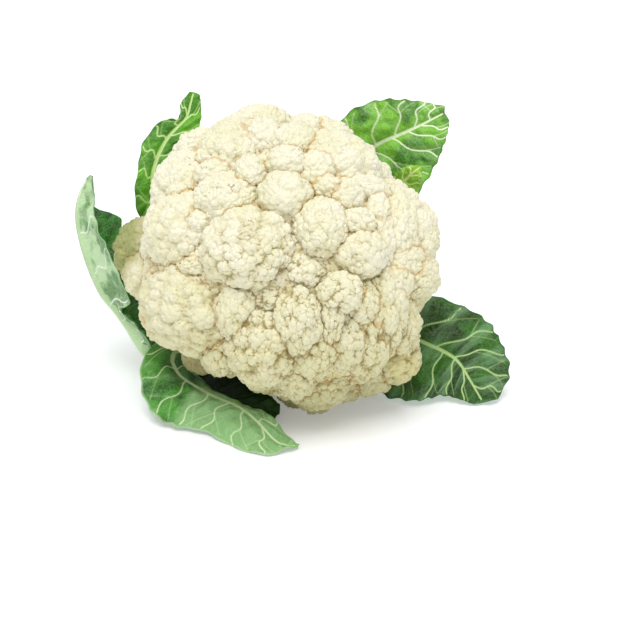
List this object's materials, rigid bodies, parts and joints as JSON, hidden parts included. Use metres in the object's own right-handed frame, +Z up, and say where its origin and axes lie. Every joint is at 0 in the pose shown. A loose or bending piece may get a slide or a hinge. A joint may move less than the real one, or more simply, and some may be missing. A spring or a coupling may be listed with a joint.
{
  "type": "cauliflower",
  "caption": "Cream cauliflower head lying on its side, its knobbly florets facing forward, with a pale cut stalk and green veined leaves spread round the back.",
  "frame": {"origin": "the middle of the small flat under the head that it rests on", "axes": "+Z up; the crown looks towards -Y and a little up, the stalk points towards +Y and down, and +X is to the right of whoever faces the crown"},
  "size_m": [0.2212, 0.1688, 0.1486],
  "materials": {
    "curd": "matt cream vegetable flesh, finely granular",
    "stalk": "smooth pale green stem",
    "leaf_green": "waxy green leaf with pale veins",
    "leaf_young": "soft yellow-green young leaf",
    "leaf_blue_green": "waxy blue-green leaf with pale veins",
    "leaf_pale": "pale waxy underside of a leaf with near-white veins"
  },
  "bodies": {
    "root": {"curd": "curd", "stalk": "stalk", "leaf_upper_right": "leaf_green", "leaf_upper_right_inner": "leaf_young", "leaf_lower_right": "leaf_blue_green", "leaf_lower_left": "leaf_green", "leaf_under": "leaf_blue_green", "leaf_left": "leaf_pale", "leaf_upper_left": "leaf_green"}
  },
  "joints": []
}
